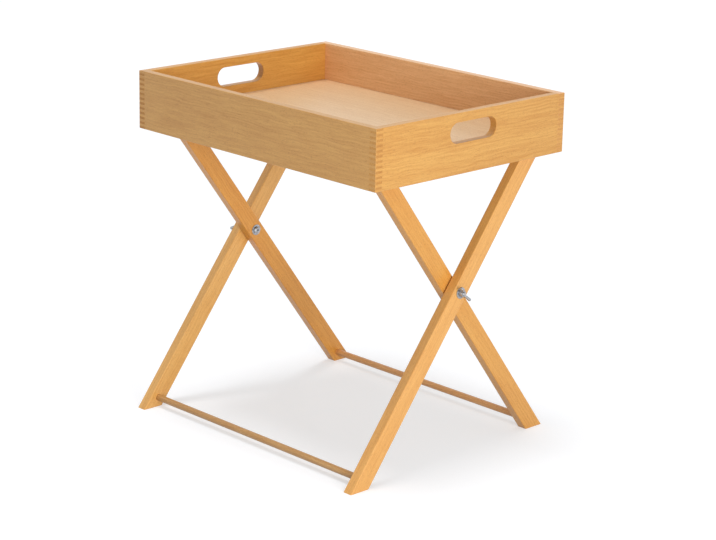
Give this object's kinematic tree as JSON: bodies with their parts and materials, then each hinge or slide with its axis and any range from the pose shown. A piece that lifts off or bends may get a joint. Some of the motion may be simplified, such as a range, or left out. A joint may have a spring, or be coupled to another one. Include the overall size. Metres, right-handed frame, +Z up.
{
  "type": "butler's tray table",
  "caption": "Folding butler's tray table: a finger-jointed beech tray with handle slots lifts off a crossed-leg stand that folds on wing-nut pivots.",
  "frame": {"origin": "on the ground, under the middle of the tray", "axes": "+X along the tray's long side to the right, +Y from the front to the back, +Z up"},
  "size_m": [0.6, 0.496, 0.62],
  "materials": {
    "beech": "solid beech, clear satin lacquer",
    "beech_panel": "pale beech-faced panel, clear satin lacquer",
    "plated_steel": "bright zinc plate"
  },
  "bodies": {
    "outer_frame": {"outer_leg_left": "beech", "outer_leg_right": "beech", "outer_top_rail": "beech", "outer_bottom_rod": "beech", "outer_rail_pins": "beech", "nut_washer_left": "plated_steel", "nut_washer_right": "plated_steel"},
    "inner_frame": {"inner_leg_left": "beech", "inner_leg_right": "beech", "inner_top_rail": "beech", "inner_bottom_rod": "beech", "inner_rail_pins": "beech", "pivot_bolt_left": "plated_steel", "pivot_bolt_right": "plated_steel", "head_washer_left": "plated_steel", "head_washer_right": "plated_steel", "spacer_washer_left": "plated_steel", "spacer_washer_right": "plated_steel"},
    "tray": {"tray_front_wall": "beech", "tray_back_wall": "beech", "tray_left_end": "beech", "tray_right_end": "beech", "tray_floor": "beech_panel"},
    "wing_nut_left": {"wing_nut_left": "plated_steel"},
    "wing_nut_right": {"wing_nut_right": "plated_steel"}
  },
  "joints": [
    {"name": "tray_lift", "type": "slide", "parent": "outer_frame", "child": "tray", "axis": [0, 0, 1], "range_m": [0, 0.3]},
    {"name": "stand_fold", "type": "hinge", "parent": "outer_frame", "child": "inner_frame", "pos_m": [0, 0, 0.3017], "axis": [-1, 0, 0], "range_deg": [0, 67.5]},
    {"name": "left_nut_turn", "type": "hinge", "parent": "inner_frame", "child": "wing_nut_left", "pos_m": [-0.2836, 0, 0.3017], "axis": [-1, 0, 0], "continuous": true},
    {"name": "right_nut_turn", "type": "hinge", "parent": "inner_frame", "child": "wing_nut_right", "pos_m": [0.2836, 0, 0.3017], "axis": [1, 0, 0], "continuous": true}
  ],
  "couplings": [
    {"joint": "stand_fold", "follows": "tray_lift", "rad_per_m": 3.926}
  ]
}
